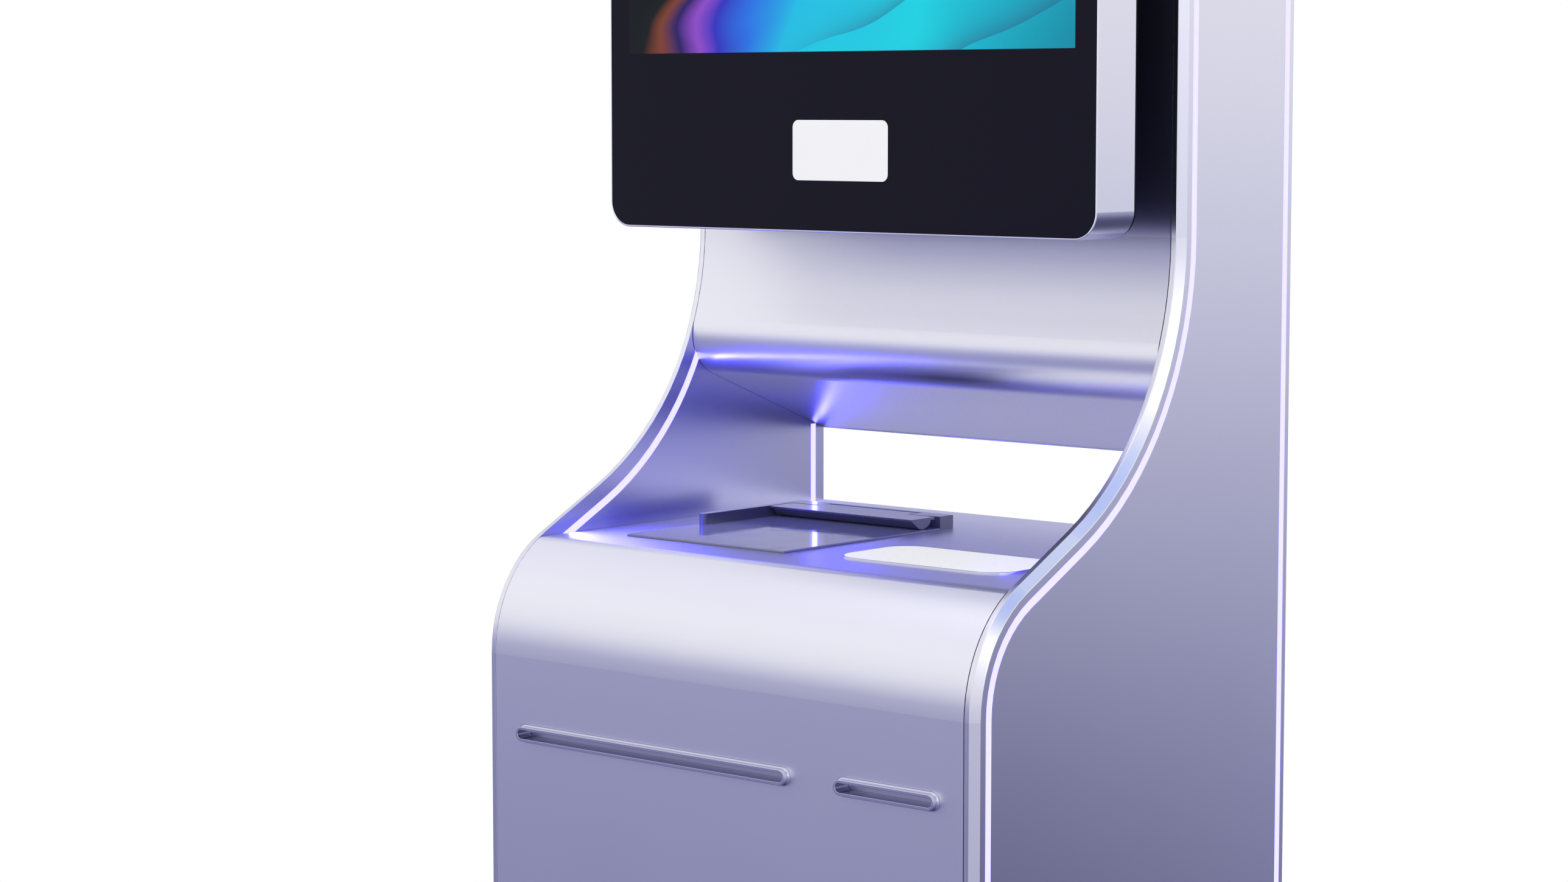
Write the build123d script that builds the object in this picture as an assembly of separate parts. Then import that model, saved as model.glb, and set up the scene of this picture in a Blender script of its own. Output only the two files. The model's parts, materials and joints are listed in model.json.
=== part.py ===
"""Self-service banking kiosk with a lit S-shaped body, monitor, document scanner and two slots.

Millimetres. +Z is up, the customer stands on the -Y side, and +X is to the customer's right.
The origin is on the floor, under the middle of the machine.
"""

from build123d import *
import os
from math import acos, asin, atan2, cos, degrees, radians, sin, sqrt

# ---- driving dimensions ---------------------------------------------------------------------

# Body
body_width = 526.0
body_depth = 426.0
body_height = 1600.0
body_bottom = 46.0
panel_thickness = 10.9
panel_chamfer = 6.2
panel_edge_radius = 1.0
panel_gap = 0.5
sheet = 2.0
lip_height = 15.0

# Side outline: a nose arc and a throat arc joined by a straight line that is tangent to both.
nose_radius = 110.0
nose_height = 765.3
throat_radius = 251.7
throat_height = 1121.4
column_front = 50.0

# Desk, and the ceiling over it
desk_height = 860.0
desk_bend_radius = 16.0
bullnose_radius = 39.2
bullnose_start = 1037.2
ceiling_rear_height = 927.8

# Lit strips
led_width = 6.8
led_depth = 2.5
led_front_margin = 12.7
led_rear_margin = 11.6
led_end_margin = 12.0

# Slots and their shutters
slot_height = 701.1
slot_opening = 7.5
slot_wall = 2.3
slot_proud = 6.3
slot_depth = 15.7
slot_foot = 2.0
slot_step = 0.4
cash_slot = (-222.3, 77.7)
receipt_slot = (127.8, 227.8)
shutter_sheet = 1.8
shutter_z = (691.0, 711.0)
guide_z = (686.0, 728.0)
guide_rear = -199.5

# Monitor
monitor_half_width = 260.6
monitor_front = -61.6
monitor_rear = -9.6
monitor_bottom = 1122.0
monitor_top = 1562.6
monitor_corner = 22.0
monitor_rim = 1.5
glass_thickness = 3.0
display_half_width = 238.1
display_bottom = 1270.5
display_top = 1538.4
reader_x = (-51.0, 51.0)
reader_z = (1164.7, 1214.4)
monitor_rails = (1244.0, 1424.0)
bracket_half = 110.0
bolt_offset = 90.0
bolt_radius = 4.0
bolt_hole = 4.2
cable_way_half = 45.0

# Document scanner, with its hinged hold-down bar
scanner_left = -198.0
scanner_right = -19.0
scanner_front = -110.3
scanner_rear = 98.0
scanner_tray_height = 0.9
scanner_glass_height = 2.0
scanner_wall = 9.6
scanner_window_x = (-185.0, -35.0)
scanner_window_y = (-95.0, 55.0)
arm_width = 8.0
arm_front = -18.8
bar_x = (-187.6, -25.0)
bar_front = 64.1
bar_rear = 90.0
lip_rear = 95.3
tongue_x = (-158.0, -55.0)
frame_rear = 118.2
frame_right = -22.5
pin_y = 109.0
pin_radius = 1.5
knuckle_radius = 4.2
scanner_edge_radius = 0.4

# Desk pad
pad_x = (25.8, 200.4)
pad_y = (-104.2, -9.0)
pad_corner = 26.0
pad_rim = 1.6

# Frames, base and plinth
tube = 20.0
tube_wall = 2.0
lower_front_post = (-192.0, -172.0)
lower_rear_post = (175.0, 195.0)
desk_post = (60.0, 80.0)
lower_top = 838.0
nose_post_top = 745.0
shelf_height = 560.0
upper_tube = 16.0
upper_rear_post = (186.0, 202.0)
upper_frame_bottom = 960.0
cap_skirt = 14.0
plinth_half_x = 248.0
plinth_half_y = 198.0
plinth_bar = 28.0
base_thickness = 6.0
anchor_spacing_x = 400.0
anchor_spacing_y = 320.0
anchor_hole_radius = 6.5
cable_entry_x = (110.0, 170.0)
cable_entry_y = (90.0, 150.0)

# Rear door: hinged on the customer's right, its outer face flush with the rear of the body.
door_x = (-250.6, 236.5)
door_z = (112.0, 842.0)
door_fold = 14.0
stile_x = 238.0
hinge_x = 237.25
hinge_offset = 3.2
hinge_pin = 2.0
hinge_radius = 3.1
hinge_heights = (150.0, 450.0, 750.0)
knuckle = 18.0
lock_x = -205.0
lock_z = 480.0
lock_plug = 6.0
lock_body = 9.0
cam_y = (189.0, 192.0)
vent_slot = (3.2, 70.0)
vent_pitch = 9.0
screw_radius = 2.0
cover_bottom = 945.0

# Banknote dispenser
roller_y = -150.0
roller_radius = 8.0
roller_gap = 0.2
roller_shaft = 4.0
chute_x = (-232.0, 82.0)
chute_y = (-199.0, -118.0)
chute_side = 3.0
guide_gap = 4.5
transport_x = (-196.0, 46.0)
transport_y = (-110.0, 170.0)
cassette_pitch = 112.0
cassette_size = (230.0, 262.0, 104.0)

# Receipt printer
printer_x = (121.0, 231.0)
printer_y = (-199.0, -100.0)
printer_top = 735.0
platen_y = -140.0
platen_radius = 9.0
paper_radius = 37.0
paper_y = -50.0
paper_z = 630.0
paper_half = 40.0
spindle_radius = 6.0

# Electronics
fan_height = 1500.0
fan_half = 40.0
fan_bore = 37.0
inlet_x = (-206.0, -134.0)
inlet_z = (70.5, 102.5)
inlet_middle = -185.0
switch_x = -148.0
switch_z = 86.5
rocker_tilt = 8.0

pin_clearance = 0.05

# ---- sizes that follow ----------------------------------------------------------------------

y_front = -body_depth / 2
y_rear = body_depth / 2
x_outer = body_width / 2
x_inner = x_outer - panel_thickness
x_sheet = x_inner - panel_gap
nose_y = y_front + nose_radius
throat_y = column_front - throat_radius
slot_front = y_front - slot_proud
shutter_front = slot_front + slot_depth + 0.3
guide_depth = (y_front + sheet + 0.1, guide_rear)
glass_front = monitor_front + 0.3
glass_back = glass_front + glass_thickness
monitor_middle = (monitor_bottom + monitor_top) / 2
cable_way_x = (-cable_way_half, cable_way_half)
cable_way_z = (monitor_middle - cable_way_half, monitor_middle + cable_way_half)
upper_front_post = (column_front + sheet, column_front + sheet + upper_tube)
upper_head = body_height - sheet - cap_skirt
scanner_glass_top = desk_height + scanner_glass_height
scanner_frame_top = scanner_glass_top + scanner_wall
pin_z = scanner_frame_top - knuckle_radius
hinge_y = y_rear + hinge_offset
roller_z = (slot_height - roller_radius - roller_gap, slot_height + roller_radius + roller_gap)
rack_floor = body_bottom + tube + 3
transport_bottom = rack_floor + 3 * cassette_pitch + 4
platen_z = slot_height - platen_radius - 0.3
rocker_y = y_rear - 3.0


# ---- helpers --------------------------------------------------------------------------------

def slab(x, y, z):
    """A box from three (low, high) pairs."""
    size = Box(x[1] - x[0], y[1] - y[0], z[1] - z[0])
    return Pos((x[0] + x[1]) / 2, (y[0] + y[1]) / 2, (z[0] + z[1]) / 2) * size


def rod(axis, start, length, radius):
    """A round bar along X, Y or Z, from its start point."""
    turn = {"X": Rot(0, 90, 0), "Y": Rot(-90, 0, 0), "Z": Rot(0, 0, 0)}[axis]
    return Pos(*start) * turn * Cylinder(radius, length, align=(Align.CENTER, Align.CENTER, Align.MIN))


def group(*solids):
    """Several separate solids in one node."""
    return Compound(children=[part for solid in solids for part in solid.solids()])


def union(first, *others):
    for other in others:
        first = first + other
    return first


def cut(first, *others):
    for other in others:
        first = first - other
    return first


def side_face(edges):
    """A face in the YZ plane, from edges in order round it."""
    return Face(Wire(edges))


def point(y, z):
    return Vector(0, y, z)


def line(a, b):
    return Edge.make_line(point(*a), point(*b))


def arc(centre, radius, start, end):
    """An arc in the YZ plane. Angles are in degrees from +Y towards +Z."""
    def at(angle):
        turn = radians(angle)
        return point(centre[0] + radius * cos(turn), centre[1] + radius * sin(turn))
    return Edge.make_three_point_arc(at(start), at((start + end) / 2), at(end))


def along_x(face, x):
    """The YZ face made solid between two X values."""
    moved = Pos(x[0], 0, 0) * face
    return Solid.extrude(moved, Vector(x[1] - x[0], 0, 0))


def tube_bar(axis, x, y, z):
    """A length of square tube, open at both ends."""
    outer = slab(x, y, z)
    w = tube_wall
    shrink = {"X": (0, w, w), "Y": (w, 0, w), "Z": (w, w, 0)}[axis]
    inner = [(r[0] + s, r[1] - s) for r, s in zip((x, y, z), shrink)]
    return outer - slab(*inner)


def rounded_plate(x, z, y, corner):
    """A plate facing Y, with its four corners rounded."""
    width = x[1] - x[0]
    height = z[1] - z[0]
    outline = RectangleRounded(width, height, corner)
    place = Plane(origin=((x[0] + x[1]) / 2, y[0], (z[0] + z[1]) / 2), x_dir=(1, 0, 0), z_dir=(0, 1, 0))
    return extrude(place * outline, y[1] - y[0])


def rounded_desk_plate(x, y, z, corner):
    """A plate facing Z, with its four corners rounded."""
    outline = RectangleRounded(x[1] - x[0], y[1] - y[0], corner)
    place = Pos((x[0] + x[1]) / 2, (y[0] + y[1]) / 2, z[0])
    return extrude(place * outline, z[1] - z[0])


def stadium(x, half_height, y):
    """A bar with half-round ends, along X, that reaches through y, at slot height."""
    outline = SlotOverall(x[1] - x[0], 2 * half_height)
    place = Plane(origin=((x[0] + x[1]) / 2, y[0], slot_height), x_dir=(1, 0, 0), z_dir=(0, 1, 0))
    return extrude(place * outline, y[1] - y[0])


# ---- side outline ---------------------------------------------------------------------------

def outline_sweep():
    """The angle that each arc of the side outline turns through, in degrees."""
    run = nose_y - throat_y
    drop = throat_height - nose_height
    lean = asin((nose_radius + throat_radius) / sqrt(run * run + drop * drop))
    return degrees(lean - atan2(run, drop))


def front_line(inset, bottom, top):
    """Edges of the side outline's front, from bottom to top, moved back by inset."""
    sweep = outline_sweep()
    nose = nose_radius - inset
    throat = throat_radius + inset
    turn = radians(sweep)
    nose_end = (nose_y - nose * cos(turn), nose_height + nose * sin(turn))
    throat_start = (throat_y + throat * cos(turn), throat_height - throat * sin(turn))
    return [
        line((nose_y - nose, bottom), (nose_y - nose, nose_height)),
        arc((nose_y, nose_height), nose, 180, 180 - sweep),
        line(nose_end, throat_start),
        arc((throat_y, throat_height), throat, -sweep, 0),
        line((throat_y + throat, throat_height), (throat_y + throat, top)),
    ]


def outline_band(inset, width, bottom, top):
    """A strip of constant width that follows the front of the side outline."""
    front = front_line(inset, bottom, top)
    back = front_line(inset + width, bottom, top)
    foot = line((y_front + inset, bottom), (y_front + inset + width, bottom))
    head = line((column_front + inset, top), (column_front + inset + width, top))
    return side_face(front + [head] + back + [foot])


def side_outline():
    """The whole side outline, as a face."""
    edges = front_line(0, body_bottom, body_height)
    edges.append(line((column_front, body_height), (y_rear, body_height)))
    edges.append(line((y_rear, body_height), (y_rear, body_bottom)))
    edges.append(line((y_rear, body_bottom), (y_front, body_bottom)))
    return side_face(edges)


# ---- side panels and their lit strips -------------------------------------------------------

def led_bands(margin, bottom, top):
    """The front and rear strips of one face, as two YZ faces."""
    front = outline_band(led_front_margin + margin, led_width - 2 * margin, bottom, top)
    rear_edge = y_rear - led_rear_margin - margin
    rear = side_face([
        line((rear_edge - led_width + 2 * margin, bottom), (rear_edge, bottom)),
        line((rear_edge, bottom), (rear_edge, top)),
        line((rear_edge, top), (rear_edge - led_width + 2 * margin, top)),
        line((rear_edge - led_width + 2 * margin, top), (rear_edge - led_width + 2 * margin, bottom)),
    ])
    return front, rear


def outer_strips(side, margin):
    """Strips on the outer face. The margin is 0 for their grooves."""
    x = (x_outer - led_depth, x_outer) if side > 0 else (-x_outer, -x_outer + led_depth)
    bands = led_bands(margin, body_bottom + led_end_margin + margin, body_height - led_end_margin - margin)
    return [along_x(band, x) for band in bands]


def bay_strips(side, margin):
    """Strips on the inner face, between the desk and the ceiling of the transaction bay."""
    x = (x_inner, x_inner + led_depth) if side > 0 else (-x_inner - led_depth, -x_inner)
    front, rear = led_bands(margin, body_bottom, body_height)
    grow = 0.05 - margin
    front_space = slab((-x_outer, x_outer), (y_front, 50), (desk_height - 4 - grow, 1010 + grow))
    rear_space = slab((-x_outer, x_outer), (50, y_rear), (desk_height - 4 - grow, 932 + grow))
    return [along_x(front, x) & front_space, along_x(rear, x) & rear_space]


def outline_edges(panel, x):
    """The panel's edges in one X plane, without those at its foot."""
    edges = []
    for edge in panel.edges():
        box = edge.bounding_box()
        in_plane = abs(box.min.X - x) < 0.01 and abs(box.max.X - x) < 0.01
        if in_plane and box.max.Z > body_bottom + 1:
            edges.append(edge)
    return edges


def side_panel(side):
    """Thick plate with a chamfer round its outer face, softened edges, and grooves for its strips."""
    x = (x_inner, x_outer) if side > 0 else (-x_outer, -x_inner)
    panel = along_x(side_outline(), x)
    outer_face = panel.faces().sort_by(Axis.X)[-1 if side > 0 else 0]
    edges = [e for e in outer_face.edges() if e.center().Z > body_bottom + 1]
    panel = chamfer(edges, panel_chamfer)
    panel = fillet(outline_edges(panel, side * x_outer), panel_edge_radius)
    panel = fillet(outline_edges(panel, side * (x_outer - panel_chamfer)), panel_edge_radius)
    panel = fillet(outline_edges(panel, side * x_inner), panel_edge_radius / 2)
    return cut(panel, *outer_strips(side, 0), *bay_strips(side, 0))


# ---- bent sheets ----------------------------------------------------------------------------

def fascia_profile(inset):
    """Edges of the fascia's outer side, from its foot to its rear edge, moved in by inset."""
    nose = nose_radius - inset
    bend = desk_bend_radius - inset
    reach = nose_radius - desk_bend_radius
    rise = desk_height - desk_bend_radius - nose_height
    turn = asin(rise / reach)
    bend_centre = (nose_y - reach * cos(turn), desk_height - desk_bend_radius)
    lean = degrees(turn)
    return [
        line((y_front + inset, body_bottom), (y_front + inset, nose_height)),
        arc((nose_y, nose_height), nose, 180, 180 - lean),
        arc(bend_centre, bend, 180 - lean, 90),
        line((bend_centre[0], desk_height - inset), (y_rear, desk_height - inset)),
    ]


def front_fascia():
    """Front, nose and desk: one bent sheet with the slots and the scanner window cut out."""
    outer = fascia_profile(0)
    inner = fascia_profile(sheet)
    foot = line((y_front, body_bottom), (y_front + sheet, body_bottom))
    end = line((y_rear, desk_height), (y_rear, desk_height - sheet))
    body = along_x(side_face(outer + [end] + inner + [foot]), (-x_sheet, x_sheet))
    body += slab((-x_sheet, x_sheet), (y_rear - sheet, y_rear), (desk_height - lip_height, desk_height))
    through = (y_front - 1, y_front + sheet + 1)
    outside = slot_opening / 2 + slot_wall + 0.1
    body -= stadium((cash_slot[0] - 0.1, cash_slot[1] + 0.1), outside, through)
    body -= stadium((receipt_slot[0] - 0.1, receipt_slot[1] + 0.1), outside, through)
    body -= slab(scanner_window_x, scanner_window_y, (desk_height - 10, desk_height + 1))
    return body


def ceiling_profile(inset):
    """Edges of the back panel's outer side, from its top to its rear edge, moved in by inset."""
    start = degrees(asin((throat_height - bullnose_start) / throat_radius))
    turn = radians(start)
    gap = throat_radius + bullnose_radius
    centre = (throat_y + gap * cos(turn), throat_height - gap * sin(turn))
    to_rear = (y_rear - centre[0], ceiling_rear_height - centre[1])
    away = sqrt(to_rear[0] ** 2 + to_rear[1] ** 2)
    tangent = degrees(atan2(to_rear[1], to_rear[0])) - degrees(acos(bullnose_radius / away))
    slope = radians(tangent)
    inner = bullnose_radius - inset
    flat_start = (centre[0] + inner * cos(slope), centre[1] + inner * sin(slope))
    flat_end_z = ceiling_rear_height + inset / sin(-slope)
    throat = throat_radius + inset
    return [
        line((throat_y + throat, body_height - sheet), (throat_y + throat, throat_height)),
        arc((throat_y, throat_height), throat, 0, -start),
        arc(centre, inner, 180 - start, 360 + tangent),
        line(flat_start, (y_rear, flat_end_z)),
    ]


def back_panel():
    """Column front, bullnose and bay ceiling: one bent sheet."""
    outer = ceiling_profile(0)
    inner = ceiling_profile(sheet)
    top = body_height - sheet
    head = line((column_front, top), (column_front + sheet, top))
    low = outer[-1].end_point()
    high = inner[-1].end_point()
    end = Edge.make_line(low, high)
    body = along_x(side_face(outer + [end] + inner + [head]), (-x_sheet, x_sheet))
    lip = (ceiling_rear_height + 0.1, ceiling_rear_height + lip_height)
    body += slab((-x_sheet, x_sheet), (y_rear - sheet, y_rear), lip)
    body -= slab(cable_way_x, (column_front - 1, column_front + 3), cable_way_z)
    for x, z in bracket_bolts():
        body -= rod("Y", (x, column_front - 5, z), 20, bolt_hole)
    return body


def top_cap():
    """Lid of the column, with a skirt inside each side panel."""
    plate = slab((-x_sheet, x_sheet), (column_front, y_rear), (body_height - sheet, body_height))
    skirt = (body_height - cap_skirt, body_height - sheet)
    for side in (-1, 1):
        x = sorted((side * x_sheet, side * (x_sheet - sheet)))
        plate += slab(x, (column_front + 22, y_rear - 24), skirt)
    return plate


# ---- frames, base and rear ------------------------------------------------------------------

def bracket_bolts():
    """X and Z of the bolts that hold the monitor bracket to the upper frame."""
    rail = upper_tube / 2
    return [(x, z + rail) for x in (-bolt_offset, bolt_offset) for z in monitor_rails]


def lower_frame():
    """Square tubes in the cabinet: posts, side rails and cross rails, welded end to end."""
    bars = []
    bottom = (body_bottom, body_bottom + tube)
    for side in (-1, 1):
        x = sorted((side * x_inner, side * (x_inner - tube)))
        bars.append(tube_bar("Z", x, lower_front_post, (body_bottom, nose_post_top)))
        bars.append(tube_bar("Z", x, lower_rear_post, (body_bottom, lower_top)))
        between = (lower_front_post[1], lower_rear_post[0])
        bars.append(tube_bar("Y", x, between, bottom))
        bars.append(tube_bar("Y", x, between, (shelf_height - tube, shelf_height)))
        over_nose = (lower_front_post[0], lower_rear_post[0])
        bars.append(tube_bar("Y", x, over_nose, (nose_post_top, nose_post_top + tube)))
        bars.append(tube_bar("Z", x, desk_post, (nose_post_top + tube, lower_top)))
    span = (-x_inner + tube, x_inner - tube)
    whole = (-x_inner, x_inner)
    bars.append(tube_bar("X", span, lower_front_post, bottom))
    bars.append(cut(tube_bar("X", span, lower_rear_post, bottom), *screw_holes()))
    bars.append(tube_bar("X", whole, lower_rear_post, (lower_top, desk_height - sheet)))
    bars.append(tube_bar("X", whole, desk_post, (lower_top, desk_height - sheet)) - scanner_space())
    return group(*bars)


def upper_frame():
    """Square tubes in the column, which carry the monitor, the controller and the rear cover."""
    bars = []
    t = upper_tube
    head = (upper_head - t, upper_head)
    for side in (-1, 1):
        x = sorted((side * x_inner, side * (x_inner - t)))
        bars.append(tube_bar("Z", x, upper_front_post, (1075, upper_head)))
        rear = tube_bar("Z", x, upper_rear_post, (upper_frame_bottom, upper_head))
        bars.append(cut(rear, *screw_holes()))
        bars.append(tube_bar("Y", x, (upper_front_post[1], upper_rear_post[0]), head))
    span = (-x_inner + t, x_inner - t)
    foot = (upper_frame_bottom, upper_frame_bottom + t)
    bars.append(tube_bar("X", span, upper_rear_post, head))
    bars.append(tube_bar("X", span, upper_rear_post, foot))
    for z in monitor_rails:
        rail = tube_bar("X", span, upper_front_post, (z, z + t))
        for x, bolt_z in bracket_bolts():
            rail -= rod("Y", (x, column_front, bolt_z), 30, bolt_hole)
        bars.append(rail)
    return group(*bars)


def base_plate():
    """Floor plate with an anchor hole near each corner and a cable entry."""
    half_x = plinth_half_x
    half_y = plinth_half_y
    plate = rounded_desk_plate((-half_x, half_x), (-half_y, half_y), (0, base_thickness), 4)
    for x in (-anchor_spacing_x / 2, anchor_spacing_x / 2):
        for y in (-anchor_spacing_y / 2, anchor_spacing_y / 2):
            plate -= rod("Z", (x, y, -1), base_thickness + 2, anchor_hole_radius)
    return plate - slab(cable_entry_x, cable_entry_y, (-1, base_thickness + 1))


def plinth():
    """Four lengths of rectangular tube on the base plate, set back from the body."""
    z = (base_thickness, body_bottom)
    long = (-plinth_half_x, plinth_half_x)
    short = (-plinth_half_y + plinth_bar, plinth_half_y - plinth_bar)
    bars = []
    for side in (-1, 1):
        y = sorted((side * plinth_half_y, side * (plinth_half_y - plinth_bar)))
        x = sorted((side * plinth_half_x, side * (plinth_half_x - plinth_bar)))
        bars.append(tube_bar("X", long, y, z))
        bars.append(tube_bar("Y", x, short, z))
    return group(*bars)


def floor_pan():
    """Sheet on the bottom rails that carries the rack and the power supply."""
    z = (body_bottom + tube, rack_floor)
    pan = slab((-230, 230), (lower_front_post[0], lower_rear_post[1]), z)
    return pan - slab(cable_entry_x, cable_entry_y, (z[0] - 1, z[1] + 1))


def equipment_shelf():
    """Sheet on the side rail that carries the printer and its paper."""
    return slab((52, x_inner), (-170, 173), (shelf_height, shelf_height + sheet))


def vents(x_centre, z_first, columns, rows, y):
    """Rows of narrow upright louvre slots through a rear sheet."""
    cutters = []
    for column in range(columns):
        x = x_centre + (column - (columns - 1) / 2) * vent_pitch
        for row in range(rows):
            z = z_first + row * (vent_slot[1] + 14)
            cutters.append(slab((x - vent_slot[0] / 2, x + vent_slot[0] / 2), y, (z, z + vent_slot[1])))
    return cutters


def rear_door():
    """Folded sheet door with two rows of louvres low down, one high up, and a hole for its lock."""
    skin_y = (y_rear - sheet, y_rear)
    door = slab(door_x, skin_y, door_z)
    fold_y = (y_rear - door_fold, y_rear - sheet)
    door += slab((door_x[0], door_x[0] + sheet), fold_y, door_z)
    door += slab((door_x[1] - sheet, door_x[1]), fold_y, door_z)
    door += slab(door_x, fold_y, (door_z[0], door_z[0] + sheet))
    door += slab(door_x, fold_y, (door_z[1] - sheet, door_z[1]))
    door -= rod("Y", (lock_x, y_rear - 5, lock_z), 10, lock_body + 0.1)
    door = cut(door, *vents(0, 160, 25, 2, (y_rear - 5, y_rear + 1)))
    return cut(door, *vents(0, 680, 25, 1, (y_rear - 5, y_rear + 1)))


def door_frame():
    """Hinge stile beside the door, and the strike that the lock's cam turns behind."""
    stile = slab((stile_x, x_sheet), (lower_rear_post[1], y_rear), door_z)
    strike_y = (cam_y[1] + 0.3, lower_rear_post[1])
    strike = slab((-x_inner + tube, lock_x - lock_body), strike_y, (lock_z - 12, lock_z + 12))
    return group(stile, strike)


def hinge_spans(z):
    """The fixed, moving and fixed knuckle of one hinge, as (low, high) pairs."""
    gap = 0.3
    low = z - 1.5 * knuckle
    return [(low + i * knuckle + gap / 2, low + (i + 1) * knuckle - gap / 2) for i in range(3)]


def knuckle_ring(span):
    """One knuckle, bored for its pin."""
    length = span[1] - span[0]
    barrel = rod("Z", (hinge_x, hinge_y, span[0]), length, hinge_radius)
    return barrel - rod("Z", (hinge_x, hinge_y, span[0] - 1), length + 2, hinge_pin + pin_clearance)


def hinge_leaf(z, side):
    """One leaf with its knuckles. Side is 1 for the fixed leaf and -1 for the door's."""
    spans = hinge_spans(z)
    leaf_y = (y_rear, y_rear + 1.5)
    far = hinge_x + side * 12.5
    near = hinge_x + side * 5.2
    leaf = slab(sorted((near, far)), leaf_y, (spans[0][0], spans[2][1]))
    own = (spans[0], spans[2]) if side > 0 else (spans[1],)
    for span in own:
        bridge = slab(sorted((hinge_x + side * 0.8, far)), leaf_y, span)
        bridge -= rod("Z", (hinge_x, hinge_y, span[0] - 1), knuckle + 2, hinge_radius - 0.5)
        leaf += bridge + knuckle_ring(span)
    return leaf


def hinge_pins():
    length = 3 * knuckle + 1.0
    return group(*[rod("Z", (hinge_x, hinge_y, z - length / 2), length, hinge_pin) for z in hinge_heights])


def lock_barrel():
    """Fixed body of the cam lock, with its flange on the door."""
    barrel = rod("Y", (lock_x, y_rear - 16, lock_z), 16, lock_body)
    barrel += rod("Y", (lock_x, y_rear, lock_z), 2.5, 12)
    return barrel - rod("Y", (lock_x, y_rear - 17, lock_z), 22, lock_plug + pin_clearance)


def lock_cam():
    """Turning plug with a key slot and its cam, which hangs down when unlocked."""
    plug = rod("Y", (lock_x, cam_y[0], lock_z), y_rear + 3 - cam_y[0], lock_plug)
    plug -= slab((lock_x - 0.7, lock_x + 0.7), (y_rear - 4, y_rear + 4), (lock_z - 3.5, lock_z + 3.5))
    cam = slab((lock_x - 6, lock_x + 6), cam_y, (lock_z - 18, lock_z))
    cam += rod("Y", (lock_x, cam_y[0], lock_z - 18), cam_y[1] - cam_y[0], 6)
    return plug + cam


def rear_service_panel():
    """Fixed panel under the door, with a folded foot and the mains inlet's opening."""
    x = (-x_sheet, x_sheet)
    panel = slab(x, (y_rear - sheet, y_rear), (body_bottom + 2, door_z[0] - 2))
    panel += slab(x, (lower_rear_post[1], y_rear - sheet), (body_bottom + 2, body_bottom + 2 + sheet))
    panel -= slab(inlet_x, (y_rear - 5, y_rear + 1), inlet_z)
    return cut(panel, *screw_holes())


def rear_upper_cover():
    """Screwed cover of the column, with folded edges and louvres over the fan."""
    z = (cover_bottom, body_height - sheet - 0.5)
    cover = slab((-x_sheet, x_sheet), (y_rear - sheet, y_rear), z)
    for side in (-1, 1):
        x = sorted((side * x_sheet, side * (x_sheet - sheet)))
        cover += slab(x, (upper_rear_post[1] + 1, y_rear - sheet), z)
    cover = cut(cover, *screw_holes())
    cover = cut(cover, *vents(0, fan_height - 35, 9, 1, (y_rear - 5, y_rear + 1)))
    return cut(cover, *vents(0, 1010, 25, 1, (y_rear - 5, y_rear + 1)))


def cover_screws():
    """X and Z of the screws that hold the upper cover to the rear posts."""
    x = x_inner - upper_tube / 2
    return [(side * x, z) for side in (-1, 1) for z in (985.0, 1180.0, 1380.0, 1560.0)]


def service_screws():
    """X and Z of the screws that hold the service panel to the rear cross rail."""
    return [(x, body_bottom + tube / 2) for x in (-225.0, -75.0, 75.0, 225.0)]


def screw_holes():
    """Cutters for the shanks of the rear screws."""
    spots = cover_screws() + service_screws()
    return [rod("Y", (x, y_rear - 25, z), 30, screw_radius + 0.1) for x, z in spots]


def rear_screws():
    """Domed screws of the rear cover and the service panel."""
    screws = []
    for x, z in cover_screws() + service_screws():
        head = rod("Y", (x, y_rear, z), 2.2, 4)
        head = chamfer(head.edges().sort_by(Axis.Y)[-1], 1.0)
        head -= rod("Y", (x, y_rear + 0.8, z), 3, 1.3)
        screws.append(head + rod("Y", (x, y_rear - 22, z), 22, screw_radius))
    return group(*screws)


# ---- slots, shutters and the dispenser ------------------------------------------------------

def slot_bezel(x):
    """Raised tube round a slot, with a filleted foot outside and a collar inside the fascia."""
    half = slot_opening / 2 + slot_wall
    back = slot_front + slot_depth
    ring = stadium(x, half, (slot_front, back))
    foot_front = y_front - slot_step
    ring += stadium((x[0] - slot_foot, x[1] + slot_foot), half + slot_foot, (foot_front, y_front))
    corner = [e for e in ring.edges() if abs(e.center().Y - foot_front) < 0.01]
    corner = [e for e in corner if abs(e.bounding_box().max.Z - slot_height) < half + 0.1]
    ring = fillet(corner, slot_foot - slot_step)
    ring += stadium((x[0] - 4, x[1] + 4), half + 4, (y_front + sheet, y_front + sheet + 2))
    mouth = stadium((x[0] + slot_wall, x[1] - slot_wall), slot_opening / 2, (slot_front - 1, back + 1))
    ring -= mouth
    rim = [e for e in ring.edges() if abs(e.center().Y - slot_front) < 0.01]
    return fillet(rim, 0.3)


def shutter(x):
    """Flat shutter behind a slot, closed at rest, which slides up."""
    return slab((x[0] - 9.7, x[1] + 9.7), (shutter_front, shutter_front + shutter_sheet), shutter_z)


def shutter_guides():
    """Upright channels for the ends of both shutters, each with a stop under the shutter."""
    guides = []
    for x in (cash_slot, receipt_slot):
        for side, edge in ((-1, x[0]), (1, x[1])):
            block = slab(sorted((edge + side * 6.5, edge + side * 14)), guide_depth, guide_z)
            groove_x = sorted((edge + side * 6, edge + side * 10))
            groove_y = (shutter_front - 0.3, shutter_front + shutter_sheet + 0.3)
            guides.append(block - slab(groove_x, groove_y, (shutter_z[0] - 0.3, guide_z[1] + 2)))
    return group(*guides)


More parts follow.
